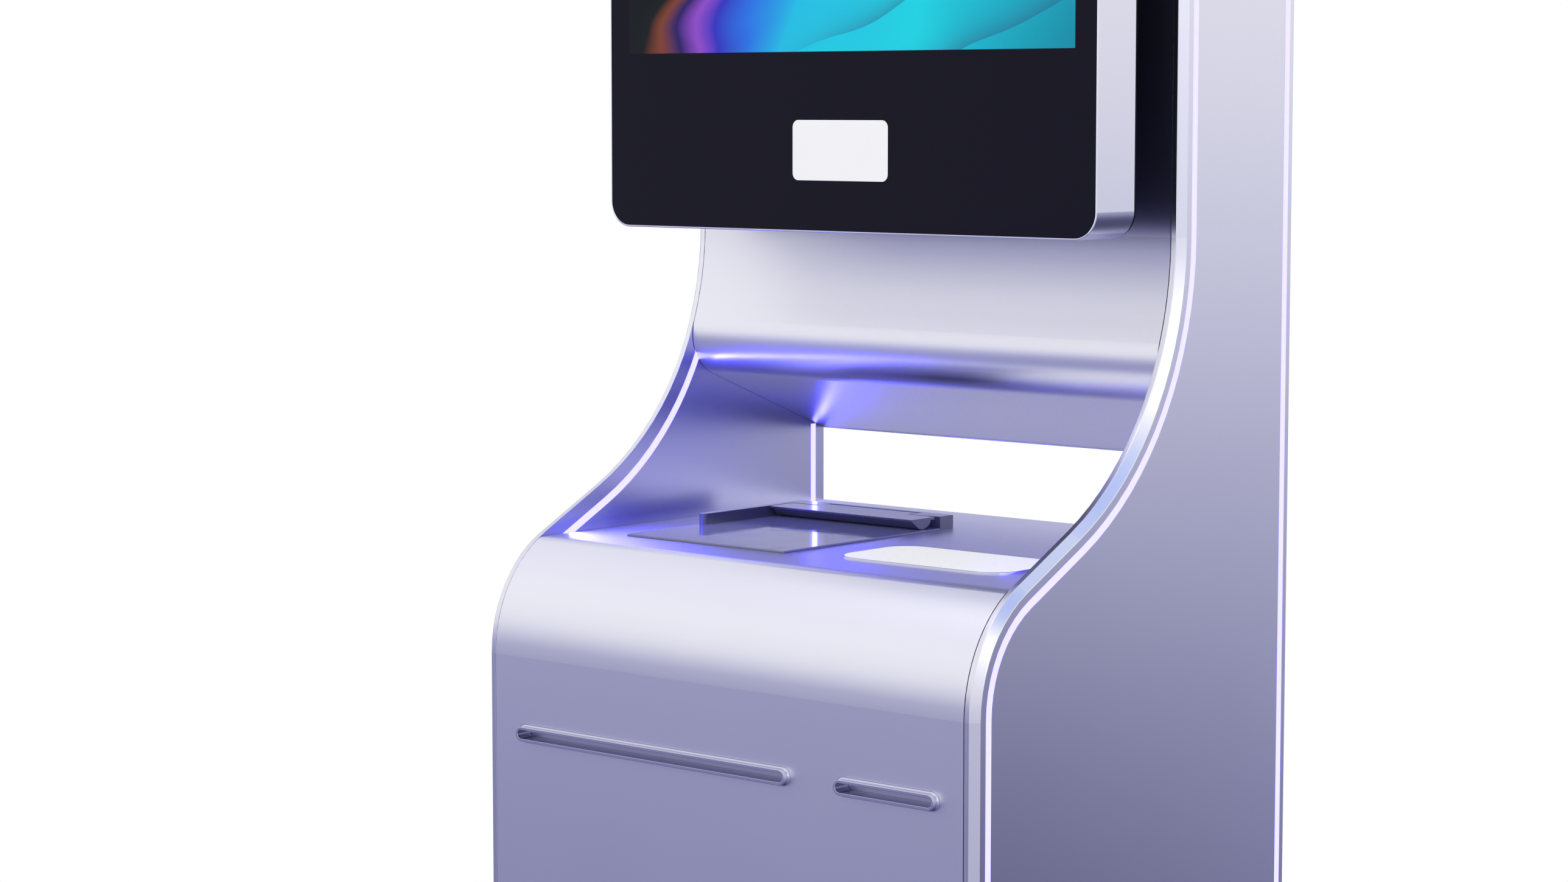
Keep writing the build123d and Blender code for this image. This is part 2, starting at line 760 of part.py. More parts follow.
def note_chute():
    """Side plates that hold the feed rollers, with a lower and an upper guide plate."""
    plates = []
    for x in ((chute_x[0], chute_x[0] + chute_side), (chute_x[1] - chute_side, chute_x[1])):
        plate = slab(x, chute_y, (636, 724))
        for z in roller_z:
            plate -= rod("X", (x[0] - 1, roller_y, z), chute_side + 2, roller_shaft + pin_clearance)
        plates.append(plate)
    chute = union(*plates)
    inside = (chute_x[0] + 1, chute_x[1] - 1)
    for y in ((chute_y[0], roller_y - 10), (roller_y + 10, chute_y[1])):
        chute += slab(inside, y, (slot_height - guide_gap - 1.5, slot_height - guide_gap))
        chute += slab(inside, y, (slot_height + guide_gap, slot_height + guide_gap + 1.5))
    return chute


def feed_roller(z):
    """Shaft with five rubber rings."""
    ends = (chute_x[0] + 0.2, chute_x[1] - 0.2)
    roller = rod("X", (ends[0], roller_y, z), ends[1] - ends[0], roller_shaft)
    for i in range(5):
        start = chute_x[0] + 27 + i * 56
        roller += rod("X", (start, roller_y, z), 36, roller_radius)
    return roller


def cassette_rack():
    """Two side plates and three shelves, one under each cassette."""
    top = transport_bottom
    left = slab((transport_x[0], transport_x[0] + 3), transport_y, (rack_floor, top))
    right = slab((transport_x[1] - 3, transport_x[1]), transport_y, (rack_floor, top))
    rack = left + right
    for i in range(4):
        z = rack_floor + i * cassette_pitch
        rack += slab((transport_x[0] + 1, transport_x[1] - 1), transport_y, (z, z + 2))
    return rack


def cassette(i):
    """One banknote cassette: a closed box with a grip rib and a latch on its rear end."""
    middle = (transport_x[0] + transport_x[1]) / 2
    x = (middle - cassette_size[0] / 2, middle + cassette_size[0] / 2)
    z_low = rack_floor + i * cassette_pitch + 2
    box = slab(x, (-102, -102 + cassette_size[1]), (z_low, z_low + cassette_size[2]))
    box = fillet(box.edges().filter_by(Axis.Y), 3)
    rib = slab((middle - 60, middle + 60), (159, 172), (z_low + 44, z_low + 56))
    rib = fillet([e for e in rib.edges() if e.center().Y > 171], 3)
    latch = slab((middle + 80, middle + 98), (159, 165), (z_low + 38, z_low + 62))
    return box + rib + latch


def note_transport():
    """Picker and stacker unit between the cassettes and the chute, a closed unit."""
    unit = slab(transport_x, transport_y, (transport_bottom, shelf_height))
    unit = fillet(unit.edges().filter_by(Axis.X), 6)
    riser = slab((-190, 40), (-110, -30), (shelf_height - 1, 636))
    foot = slab(chute_x, (-150, -30), (630, 636))
    return unit + riser + foot


# ---- receipt printer ------------------------------------------------------------------------

def receipt_printer():
    """Side plates, floor, guide plates and print head."""
    printer = None
    for x in ((printer_x[0], printer_x[0] + 3), (printer_x[1] - 3, printer_x[1])):
        plate = slab(x, printer_y, (shelf_height + sheet, printer_top))
        plate -= rod("X", (x[0] - 1, platen_y, platen_z), 5, roller_shaft + pin_clearance)
        printer = plate if printer is None else printer + plate
    inside = (printer_x[0] + 1, printer_x[1] - 1)
    printer += slab(inside, (-168, -104), (shelf_height + sheet, shelf_height + sheet + 3))
    guide_y = (printer_y[0], platen_y - 12)
    printer += slab(inside, guide_y, (slot_height - guide_gap - 1.5, slot_height - guide_gap))
    printer += slab(inside, guide_y, (slot_height + guide_gap, slot_height + guide_gap + 1.5))
    head = slab(inside, (platen_y - 10, platen_y + 12), (slot_height + 0.5, slot_height + 22))
    return printer + fillet(head.edges().filter_by(Axis.X), 2)


def platen_roller():
    """Shaft with the rubber sleeve that feeds the receipt paper."""
    ends = (printer_x[0] + 0.2, printer_x[1] - 0.2)
    roller = rod("X", (ends[0], platen_y, platen_z), ends[1] - ends[0], roller_shaft)
    return roller + rod("X", (printer_x[0] + 12, platen_y, platen_z), 86, platen_radius)


def paper_holder():
    """Bracket on the shelf with the spindle that carries the paper roll."""
    middle = (printer_x[0] + printer_x[1]) / 2
    z = (shelf_height + sheet, paper_z + 14)
    holder = None
    for side in (-1, 1):
        x = sorted((middle + side * (paper_half + 3), middle + side * (paper_half + 6)))
        arm = slab(x, (paper_y - 12, paper_y + 52), z)
        holder = arm if holder is None else holder + arm
    holder += slab((middle - 44, middle + 44), (paper_y + 46, paper_y + 52), z)
    return holder + rod("X", (middle - 44, paper_y, paper_z), 88, spindle_radius)


def paper_roll():
    """A full roll of receipt paper, bored for the spindle."""
    middle = (printer_x[0] + printer_x[1]) / 2
    width = 2 * paper_half
    left = middle - paper_half
    roll = rod("X", (left, paper_y, paper_z), width, paper_radius)
    return roll - rod("X", (left - 1, paper_y, paper_z), width + 2, spindle_radius + pin_clearance)


# ---- monitor --------------------------------------------------------------------------------

def monitor_box(inset, y):
    """A rounded block with the monitor's outline, drawn in by inset."""
    x = (-monitor_half_width + inset, monitor_half_width - inset)
    return rounded_plate(x, (monitor_bottom + inset, monitor_top - inset), y, monitor_corner - inset)


def monitor_housing():
    """Metal surround of the monitor, a thin rim round the glass."""
    shell = monitor_box(0, (monitor_front, monitor_rear - 3))
    edges = [e for e in shell.edges() if abs(e.center().Y - monitor_front) < 0.01]
    shell = fillet(edges, 0.6)
    return shell - monitor_box(monitor_rim, (monitor_front - 1, monitor_rear))


def monitor_rear_cover():
    """Plastic back of the monitor, with a row of louvres above and below the bracket."""
    cover = monitor_box(0.8, (monitor_rear - 3, monitor_rear))
    cover -= slab(cable_way_x, (monitor_rear - 4, monitor_rear + 1), cable_way_z)
    for z in (monitor_bottom + 24, monitor_top - 24 - vent_slot[1] / 2):
        for i in range(-17, 18):
            x = i * 12.0
            upright = (z, z + vent_slot[1] / 2)
            cover -= slab((x - 2, x + 2), (monitor_rear - 4, monitor_rear + 1), upright)
    return cover


def monitor_glass():
    """Front glass, with a shallow seat for the reader's window."""
    glass = monitor_box(monitor_rim + 0.15, (glass_front, glass_back))
    return glass - rounded_plate(reader_x, reader_z, (glass_front - 1, glass_front + 1.5), 6)


def lcd_panel():
    """Display module behind the glass."""
    x = (-display_half_width - 4, display_half_width + 4)
    return slab(x, (glass_back, glass_back + 9), (display_bottom - 4, display_top + 4))


def reader_window():
    """White window of the contactless reader, let into the glass."""
    front = glass_front - 0.5
    window = rounded_plate(reader_x, reader_z, (front, glass_front + 1.5), 6)
    return fillet([e for e in window.edges() if abs(e.center().Y - front) < 0.01], 0.3)


def reader_module():
    """Card and code reader behind its window."""
    body = slab((-60, 60), (glass_back, glass_back + 24), (reader_z[0] - 9, reader_z[1] + 9))
    return fillet(body.edges().filter_by(Axis.Y), 4)


def monitor_bracket():
    """Plate on the monitor, hollow neck, and plate on the column."""
    middle = monitor_middle
    plates = rounded_plate((-100, 100), (middle - 100, middle + 100), (monitor_rear, monitor_rear + 4), 8)
    span = (middle - bracket_half, middle + bracket_half)
    plates += rounded_plate((-bracket_half, bracket_half), span, (column_front - 4, column_front), 8)
    neck_z = (middle - 60, middle + 60)
    plates += rounded_plate((-60, 60), neck_z, (monitor_rear + 3, column_front - 3), 10)
    plates -= rounded_plate((-45, 45), cable_way_z, (monitor_rear - 1, column_front + 1), 6)
    for x, z in bracket_bolts():
        plates -= rod("Y", (x, column_front - 5, z), 8, bolt_hole)
    return plates


def bracket_bolt_set():
    """Hexagon bolts through the bracket, the column front and the frame's rails."""
    bolts = []
    for x, z in bracket_bolts():
        face = Plane(origin=(x, column_front - 9, z), x_dir=(1, 0, 0), z_dir=(0, 1, 0))
        head = extrude(face * RegularPolygon(7.5, 6), 5)
        bolts.append(head + rod("Y", (x, column_front - 4.5, z), 20, bolt_radius))
    return group(*bolts)


# ---- scanner and desk pad -------------------------------------------------------------------

def scanner_space():
    """The room that the scanner takes under the desk."""
    return slab((-192, -28), (-102, 90), (790, desk_height))


def scanner_housing():
    """Open box under the desk that holds the camera, the lamps and their board."""
    z = (798, desk_height - sheet)
    shell = slab((-190, -30), (-100, 59), z)
    shell -= slab((-187, -33), (-97, 56), (801, desk_height))
    camera = rod("Z", (-110, -20, 801), 16, 11) + slab((-130, -90), (-40, 0), (801, 806))
    for y in (-88, 40):
        camera += slab((-170, -50), (y, y + 8), (801, 815))
    return group(shell + camera)


def scanner_glass():
    """Glass plate on the desk, in a thin metal tray edge."""
    x = (scanner_left + 0.6, scanner_right - 0.6)
    y = (scanner_front + 0.6, scanner_rear - 0.6)
    return rounded_desk_plate(x, y, (desk_height + scanner_tray_height, scanner_glass_top), 2.4)


def scanner_tray():
    """Thin tray under the glass, open over the scanner's window."""
    x = (scanner_left, scanner_right)
    y = (scanner_front, scanner_rear)
    tray = rounded_desk_plate(x, y, (desk_height, desk_height + scanner_tray_height), 3)
    return tray - slab(scanner_window_x, scanner_window_y, (desk_height - 1, desk_height + 2))


def scanner_frame():
    """Raised arm and rear bar, with a pocket for the hinged tongue of the hold-down bar."""
    top = scanner_frame_top
    arm = slab((scanner_left, scanner_left + arm_width), (arm_front, scanner_rear), (scanner_glass_top, top))
    arm = fillet([e for e in arm.edges().filter_by(Axis.Z) if e.center().Y < arm_front + 1], 2.6)
    rear = slab((scanner_left, frame_right), (scanner_rear, frame_rear), (desk_height, top))
    frame = arm + rear
    pocket_x = (tongue_x[0] - 0.4, tongue_x[1] + 0.4)
    pocket_y = (scanner_rear - 1, pin_y + knuckle_radius + 0.4)
    frame -= slab(pocket_x, pocket_y, (pin_z - knuckle_radius - 0.6, top + 1))
    frame -= slab((-34, frame_right + 1), (scanner_rear - 1, scanner_rear + 2.2), (desk_height - 1, top + 1))
    hole = rod("X", (tongue_x[0] - 8, pin_y, pin_z), tongue_x[1] - tongue_x[0] + 16, pin_radius)
    frame -= hole
    return fillet([e for e in frame.edges() if e.bounding_box().min.Z > top - 0.01], scanner_edge_radius)


def hold_down_bar():
    """Half-round bar that presses a document on the glass, with a tongue back to its hinge."""
    top = scanner_frame_top
    bottom = scanner_glass_top + 0.3
    depth = top - bottom
    front_low = (bar_front + 9.5, bottom + 1.2)
    belly = Edge.make_three_point_arc(
        point(*front_low), point((bar_front + bar_rear) / 2 + 2, bottom), point(bar_rear - 3, bottom + 2.6)
    )
    profile = side_face([
        line((bar_front, top), (bar_front + 0.6, top - 1.6)),
        line((bar_front + 0.6, top - 1.6), front_low),
        belly,
        line((bar_rear - 3, bottom + 2.6), (bar_rear, top - 0.4 * depth)),
        line((bar_rear, top - 0.4 * depth), (bar_rear, top - 2.2)),
        line((bar_rear, top - 2.2), (lip_rear, top - 2.2)),
        line((lip_rear, top - 2.2), (lip_rear, top)),
        line((lip_rear, top), (bar_front, top)),
    ])
    bar = along_x(profile, bar_x)
    nose = [e for e in bar.edges().filter_by(Axis.X) if e.center().Y < bar_front + 0.1]
    bar = fillet(nose, scanner_edge_radius)
    tongue = slab(tongue_x, (lip_rear - 4, pin_y), (top - 3.0, top))
    tongue += rod("X", (tongue_x[0], pin_y, pin_z), tongue_x[1] - tongue_x[0], knuckle_radius)
    bar += tongue
    length = tongue_x[1] - tongue_x[0] + 2
    return bar - rod("X", (tongue_x[0] - 1, pin_y, pin_z), length, pin_radius + pin_clearance)


def hold_down_pin():
    """Fixed pin that the hold-down bar turns on."""
    return rod("X", (tongue_x[0] - 7.8, pin_y, pin_z), tongue_x[1] - tongue_x[0] + 15.6, pin_radius)


def pad_inside(z):
    """The pad's own shape, inside its rim."""
    x = (pad_x[0] + pad_rim, pad_x[1] - pad_rim)
    y = (pad_y[0] + pad_rim, pad_y[1] - pad_rim)
    return rounded_desk_plate(x, y, z, pad_corner - pad_rim)


def desk_pad():
    """White pad on the desk."""
    pad = pad_inside((desk_height, desk_height + 2.0))
    return fillet([e for e in pad.edges() if e.center().Z > desk_height + 1.9], 0.3)


def desk_pad_rim():
    """Thin metal rim round the pad."""
    ring = rounded_desk_plate(pad_x, pad_y, (desk_height, desk_height + 1.8), pad_corner)
    ring = fillet([e for e in ring.edges() if e.center().Z > desk_height + 1.7], 0.9)
    return ring - pad_inside((desk_height - 1, desk_height + 3))


# ---- electronics ----------------------------------------------------------------------------

def controller():
    """Computer on the rear of the monitor rails, with a finned lid and a row of ports."""
    x = (56, 226)
    y = (upper_front_post[1], upper_front_post[1] + 50)
    z = (1240, 1446)
    body = slab(x, y, z)
    for i in range(14):
        fin = x[0] + 12 + i * 11
        body -= slab((fin, fin + 3.5), (y[1] - 6, y[1] + 1), (z[0] + 20, z[1] + 1))
    for i in range(4):
        port = x[0] + 22 + i * 34
        body -= slab((port, port + 15), (y[0] + 18, y[0] + 26), (z[0] - 1, z[0] + 3))
    return body


def led_driver():
    """Supply of the lit strips, behind the lower monitor rail."""
    y = (upper_front_post[1], upper_front_post[1] + 28)
    body = slab((-226, -110), y, (1236, 1276))
    return fillet(body.edges().filter_by(Axis.X), 3)


def power_supply():
    """Power supply on the floor pan, with cooling slots in its rear face."""
    body = slab((80, 210), (20, 60), (rack_floor, rack_floor + 160))
    for i in range(10):
        z = rack_floor + 20 + i * 12
        body -= slab((90, 200), (59, 61), (z, z + 4))
    return body


def fan_frame():
    """Square fan frame on the rear cover, with its motor held by four struts."""
    y = (y_rear - sheet - 25, y_rear - sheet)
    z = (fan_height - fan_half, fan_height + fan_half)
    frame = rounded_plate((-fan_half, fan_half), z, y, 5)
    frame -= rod("Y", (0, y[0] - 1, fan_height), 30, fan_bore)
    for a in ("X", "Z"):
        reach = (-38, 38)
        thin = (-1.5, 1.5)
        span_x = reach if a == "X" else thin
        span_z = thin if a == "X" else reach
        strut_z = (fan_height + span_z[0], fan_height + span_z[1])
        frame += slab(span_x, (y[1] - 3, y[1]), strut_z)
    frame += rod("Y", (0, y[1] - 3, fan_height), 3, 14)
    axle = rod("Y", (0, y[0] + 6, fan_height), 18, 2)
    return frame + axle


def fan_rotor():
    """Hub with seven pitched blades, on the fan's axle."""
    start = y_rear - sheet - 24
    hub = rod("Y", (0, start, fan_height), 20, 14)
    blade = Pos(0, start + 9.5, 24) * Rot(0, 0, 32) * Box(3 * 7, 1.6, 22)
    rotor = hub
    for i in range(7):
        rotor += Pos(0, 0, fan_height) * Rot(0, i * 360 / 7, 0) * blade
    return rotor - rod("Y", (0, start + 4.5, fan_height), 30, 2 + pin_clearance)


def mains_inlet():
    """Inlet block in the service panel: a socket with three pins, and the switch's seat."""
    block = slab((inlet_x[0] + 0.2, inlet_x[1] - 0.2), (180, y_rear), (inlet_z[0] + 0.2, inlet_z[1] - 0.2))
    flange = slab((inlet_x[0] - 4, inlet_x[1] + 4), (y_rear, y_rear + 2), (inlet_z[0] - 4, inlet_z[1] + 4))
    flange = fillet(flange.edges().filter_by(Axis.Y), 3)
    block += flange
    socket_x = inlet_middle - 12.5
    block -= slab((socket_x, socket_x + 25), (y_rear - 15, y_rear + 3), (switch_z - 8.5, switch_z + 8.5))
    block -= slab((switch_x - 7, switch_x + 7), (y_rear - 12, y_rear + 3), (switch_z - 11, switch_z + 11))
    for x, z in ((-7, -2), (7, -2), (0, 3)):
        px = inlet_middle + x
        pz = switch_z + z
        block += slab((px - 1, px + 1), (y_rear - 15.5, y_rear - 1), (pz - 2, pz + 2))
    hole = rod("Z", (switch_x, rocker_y, switch_z - 12.5), 25, 1.5)
    return block - hole


def power_switch():
    """Rocker that tips about an upright axle. At rest it leans to one side."""
    face = [(-6.2, 4.6), (0, 3.4), (6.2, 4.6), (4.6, -5.5), (-4.6, -5.5)]
    outline = Polyline(*[(x, y) for x, y in face], close=True)
    rocker = extrude(make_face(outline), 21.4)
    rocker += rod("Z", (0, 0, -0.9), 23.2, 1.45)
    return Pos(switch_x, rocker_y, switch_z - 10.7) * Rot(0, 0, rocker_tilt) * rocker


# ---- every node -----------------------------------------------------------------------------

nodes = {
    "left_side_panel": side_panel(-1),
    "right_side_panel": side_panel(1),
    "outer_led_strips": group(*outer_strips(-1, 0.05), *outer_strips(1, 0.05)),
    "bay_led_strips": group(*bay_strips(-1, 0.05), *bay_strips(1, 0.05)),
    "front_fascia": front_fascia(),
    "back_panel": back_panel(),
    "top_cap": top_cap(),
    "rear_upper_cover": rear_upper_cover(),
    "rear_screws": rear_screws(),
    "rear_service_panel": rear_service_panel(),
    "rear_door": rear_door(),
    "door_frame": door_frame(),
    "hinge_fixed_leaves": group(*[hinge_leaf(z, 1) for z in hinge_heights]),
    "hinge_door_leaves": group(*[hinge_leaf(z, -1) for z in hinge_heights]),
    "hinge_pins": hinge_pins(),
    "lock_barrel": lock_barrel(),
    "lock_cam": lock_cam(),
    "base_plate": base_plate(),
    "plinth": plinth(),
    "equipment_shelves": group(floor_pan(), equipment_shelf()),
    "lower_frame": lower_frame(),
    "upper_frame": upper_frame(),
    "dispenser_bezel": slot_bezel(cash_slot),
    "receipt_bezel": slot_bezel(receipt_slot),
    "dispenser_shutter": shutter(cash_slot),
    "receipt_shutter": shutter(receipt_slot),
    "shutter_guides": shutter_guides(),
    "note_chute": note_chute(),
    "lower_feed_roller": feed_roller(roller_z[0]),
    "upper_feed_roller": feed_roller(roller_z[1]),
    "note_transport": note_transport(),
    "cassette_rack": cassette_rack(),
    "cash_cassettes": group(*[cassette(i) for i in range(3)]),
    "receipt_printer": receipt_printer(),
    "platen_roller": platen_roller(),
    "paper_holder": paper_holder(),
    "paper_roll": paper_roll(),
    "monitor_housing": monitor_housing(),
    "monitor_rear_cover": monitor_rear_cover(),
    "monitor_glass": monitor_glass(),
    "lcd_panel": lcd_panel(),
    "reader_window": reader_window(),
    "reader_module": reader_module(),
    "monitor_bracket": monitor_bracket(),
    "bracket_bolts": bracket_bolt_set(),
    "scanner_housing": scanner_housing(),
    "scanner_tray": scanner_tray(),
    "scanner_glass": scanner_glass(),
    "scanner_frame": scanner_frame(),
    "hold_down_bar": hold_down_bar(),
    "hold_down_pin": hold_down_pin(),
    "desk_pad": desk_pad(),
    "desk_pad_rim": desk_pad_rim(),
    "controller": controller(),
    "led_driver": led_driver(),
    "power_supply": power_supply(),
    "fan_frame": fan_frame(),
    "fan_rotor": fan_rotor(),
    "mains_inlet": mains_inlet(),
    "power_switch": power_switch(),
}

os.makedirs("parts", exist_ok=True)
for name, shape in nodes.items():
    export_step(shape, f"parts/{name}.step")
print(len(nodes), "nodes")
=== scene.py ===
"""A banking kiosk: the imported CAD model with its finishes, a display, soft studio light and a camera."""
import json
import math

import bpy
from mathutils import Matrix, Vector

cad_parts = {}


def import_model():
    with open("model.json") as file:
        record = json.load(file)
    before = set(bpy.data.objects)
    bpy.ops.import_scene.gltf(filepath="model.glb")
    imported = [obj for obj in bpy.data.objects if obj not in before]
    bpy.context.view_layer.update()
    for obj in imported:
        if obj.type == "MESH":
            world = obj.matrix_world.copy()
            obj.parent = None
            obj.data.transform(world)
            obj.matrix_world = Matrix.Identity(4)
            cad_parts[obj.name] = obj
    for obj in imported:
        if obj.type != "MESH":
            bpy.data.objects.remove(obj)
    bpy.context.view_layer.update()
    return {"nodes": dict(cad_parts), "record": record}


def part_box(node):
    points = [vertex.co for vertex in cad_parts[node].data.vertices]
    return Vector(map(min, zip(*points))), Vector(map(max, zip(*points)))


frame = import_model()
nodes = frame["nodes"]
scene = bpy.context.scene


# ---------------------------------------------------------------- places on the object, in metres
# Unless it says otherwise, a pair is the low and the high end of a stretch along one axis.

desk_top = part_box("front_fascia")[1].z
fascia_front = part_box("front_fascia")[0].y
monitor_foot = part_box("monitor_housing")[0].z
ceiling_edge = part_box("back_panel")[0].z
# Inner faces of the left and right side panels
wall_face = {-1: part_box("left_side_panel")[1].x, 1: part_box("right_side_panel")[0].x}

# Side panels. What lies no further out than wall_skin is an inner face.
wall_low, wall_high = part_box("right_side_panel")
rounded_edge = 0.003
# Painted shade, painted light and the strips' painted glow on the side panels lie within the stretches
# below.
wall_depth = (wall_low.y + rounded_edge, wall_high.y - rounded_edge)
bay_height = (desk_top, desk_top + 0.17)
wall_glow_depth = (0.0, 0.18)
wall_low_height = (desk_top - 0.26, desk_top + 0.14)
wall_skin = (wall_face[1] + 0.0002, wall_face[1] + 0.0005)

# Back panel: where its painted shade, painted reflection and painted glow lie
monitor_shade_height = (monitor_foot - 0.065, monitor_foot + 0.005)
monitor_shade_width = (-0.25, 0.0)
# Painted dark reflection along the bullnose's underside
bullnose_reflection_height = (desk_top + 0.133, desk_top + 0.142)
bullnose_reflection_width = (-0.04, 0.11)
# The strips' painted blue glow on the ceiling lies here.
ceiling_glow_height = (desk_top + 0.085, desk_top + 0.115)
ceiling_glow_width = (-0.25, 0.02)
# Painted shade along the ceiling's lower edge lies in this stretch of Z.
ceiling_edge_height = (ceiling_edge + 0.0003, ceiling_edge + 0.0006)

# Display: the panel inside its border, lit on the front of the glass only
panel_low, panel_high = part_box("lcd_panel")
side_border = 0.00395
top_border = 0.004
display_width = (panel_low.x + side_border, panel_high.x - side_border)
display_height = (panel_low.z + top_border, panel_high.z - top_border)
glass_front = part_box("monitor_glass")[0].y
glass_depth = (glass_front + 0.0008, glass_front + 0.0012)

# Lit strips of the bay: (Y, Z) places from the desk up to the bullnose, and up the rear edge
front_strip = [(-0.125, 0.861), (-0.052, 0.8995), (0.000, 0.946), (0.031, 0.984)]
rear_strip = [(0.198, 0.862), (0.198, 0.918)]
strip_width = 0.0068


# ---------------------------------------------------------------- node helpers

class Nodes:
    """Short calls that add nodes to one node tree. A value is a number, a colour or a node's output."""

    def __init__(self, tree):
        self.tree = tree
        tree.nodes.clear()

    def add(self, kind, **settings):
        node = self.tree.nodes.new(kind)
        for key, value in settings.items():
            setattr(node, key, value)
        return node

    def join(self, source, target):
        self.tree.links.new(source, target)

    def feed(self, target, value):
        """Links a socket, or sets a plain number or colour."""
        if hasattr(value, "links"):
            self.join(value, target)
        elif isinstance(value, (tuple, list)) and len(value) == 3 and target.type == "RGBA":
            target.default_value = (*value, 1.0)
        else:
            target.default_value = value

    def axis_of(self, vector, name):
        node = self.add("ShaderNodeSeparateXYZ")
        self.join(vector, node.inputs[0])
        return node.outputs[name]

    def remap(self, source, low, high, to_low=0.0, to_high=1.0, smooth=False):
        """Turns the stretch from low to high into the one from to_low to to_high, and holds its ends."""
        node = self.add("ShaderNodeMapRange", interpolation_type="SMOOTHSTEP" if smooth else "LINEAR")
        self.join(source, node.inputs["Value"])
        for key, value in zip(("From Min", "From Max", "To Min", "To Max"), (low, high, to_low, to_high)):
            node.inputs[key].default_value = value
        return node.outputs["Result"]

    def ramp(self, source, stops):
        """Colours at positions from 0 to 1."""
        node = self.add("ShaderNodeValToRGB")
        elements = node.color_ramp.elements
        while len(elements) < len(stops):
            elements.new(0.5)
        for element, (position, color) in zip(elements, stops):
            element.position = position
            element.color = (*color, 1.0)
        self.join(source, node.inputs["Fac"])
        return node.outputs["Color"]

    def math(self, operation, first, second=0.0):
        node = self.add("ShaderNodeMath", operation=operation)
        self.feed(node.inputs[0], first)
        self.feed(node.inputs[1], second)
        return node.outputs[0]

    def plus(self, first, second):
        return self.math("ADD", first, second)

    def times(self, first, second):
        return self.math("MULTIPLY", first, second)

    def mix(self, factor, first, second):
        """The first colour where factor is 0, and the second where it is 1."""
        node = self.add("ShaderNodeMix", data_type="RGBA")
        self.feed(node.inputs[0], factor)
        self.feed(node.inputs[6], first)
        self.feed(node.inputs[7], second)
        return node.outputs[2]


class Shader(Nodes):
    """One material with a Principled shader. Its patterns lie in metres, fixed to the object."""

    def __init__(self, name, color, metallic, roughness, **sockets):
        self.material = bpy.data.materials.new(name)
        self.material.use_nodes = True
        super().__init__(self.material.node_tree)
        output = self.add("ShaderNodeOutputMaterial")
        self.bsdf = self.add("ShaderNodeBsdfPrincipled")
        self.join(self.bsdf.outputs[0], output.inputs["Surface"])
        self.place = self.add("ShaderNodeTexCoord").outputs["Object"]
        self.set("Base Color", (*color, 1.0))
        self.set("Metallic", metallic)
        self.set("Roughness", roughness)
        for socket, value in sockets.items():
            self.set(socket.replace("_", " "), value)

    def set(self, socket, value):
        self.bsdf.inputs[socket].default_value = value

    def drive(self, socket, source):
        self.join(source, self.bsdf.inputs[socket])

    def axis(self, name):
        return self.axis_of(self.place, name)

    def noise(self, scale, detail=2.0, stretch=None, roughness=0.5, distortion=0.0):
        node = self.add("ShaderNodeTexNoise")
        node.inputs["Scale"].default_value = scale
        node.inputs["Detail"].default_value = detail
        node.inputs["Roughness"].default_value = roughness
        node.inputs["Distortion"].default_value = distortion
        self.join(self.stretched(stretch) if stretch else self.place, node.inputs["Vector"])
        return node.outputs["Fac"]

    def stretched(self, scale):
        node = self.add("ShaderNodeMapping")
        node.inputs["Scale"].default_value = scale
        self.join(self.place, node.inputs["Vector"])
        return node.outputs["Vector"]

    def inside(self, axis, low, high, soft=0.0002):
        """1 between low and high along an axis, 0 outside, with a soft edge."""
        place = self.axis(axis)
        rising = self.remap(place, low - soft, low + soft)
        falling = self.remap(place, high - soft, high + soft, 1.0, 0.0)
        return self.times(rising, falling)

    def facing_up(self):
        """1 on faces that look up, 0 on the rest."""
        normal = self.add("ShaderNodeTexCoord").outputs["Normal"]
        return self.remap(self.axis_of(normal, "Z"), 0.85, 0.98)

    def bump(self, height, strength, distance):
        node = self.add("ShaderNodeBump")
        node.inputs["Strength"].default_value = strength
        node.inputs["Distance"].default_value = distance
        self.join(height, node.inputs["Height"])
        self.drive("Normal", node.outputs["Normal"])

    def painted_strip_glow(self, where, strength):
        """Painted glow: the lit strips' blue light, painted as emission on the metal beside them."""
        self.set("Emission Color", (0.0, 0.0, 1.0, 1.0))
        self.drive("Emission Strength", self.times(where, strength))


def shade(color, amount):
    """A lighter or darker colour, and never past white."""
    return tuple(min(1.0, c * amount) for c in color)


# ---------------------------------------------------------------- materials

# Most of a noise texture's values lie between these.
noise_span = (0.3, 0.7)

# Stretch of the faint rolling lines in anodised metal, along X, Y and Z.
panel_grain = (90.0, 90.0, 900.0)
sheet_grain = (14.0, 700.0, 1100.0)
shutter_grain = (20.0, 500.0, 500.0)
cast_grain = (500.0, 500.0, 500.0)

# Fine relief of a surface: the scale of its noise, its strength, and its depth in metres.
spark_eroded = (1100.0, 0.25, 0.00006)
orange_peel = (700.0, 0.15, 0.00005)
ground_rubber = (500.0, 0.4, 0.0001)
paper_fibre = (600.0, 0.2, 0.00004)
polished = (60.0, 0.05, 0.00001)
scanner_satin = (1300.0, 0.06, 0.00003)

metal_color = (0.80, 0.80, 0.87)
shutter_color = (0.42, 0.42, 0.58)
# Painted shade on the side panels' inner faces
wall_inner_shade_color = (0.56, 0.56, 0.74)
# Painted shade low at the side panels' front, and painted light low at their rear
wall_low_front_shade_color = (0.69, 0.69, 0.76)
wall_low_rear_light_color = (0.93, 0.93, 0.98)
monitor_shade_color = (0.0, 0.0, 0.38)
# Painted dark reflection along the bullnose's underside
bullnose_reflection_color = (0.0, 0.0, 0.06)
# Painted shade on the ceiling's lower edge
ceiling_edge_shade_color = (0.10, 0.10, 0.12)
glass_color = (0.0030, 0.0024, 0.011)

# How strong each painted shade, painted reflection and painted glow is where it is strongest, and how
# bright the lit strips are.
monitor_shade = 0.42
bullnose_reflection_strength = 0.65
wall_glow_strength = 0.12
ceiling_glow_strength = 0.16
led_strength = 9.0

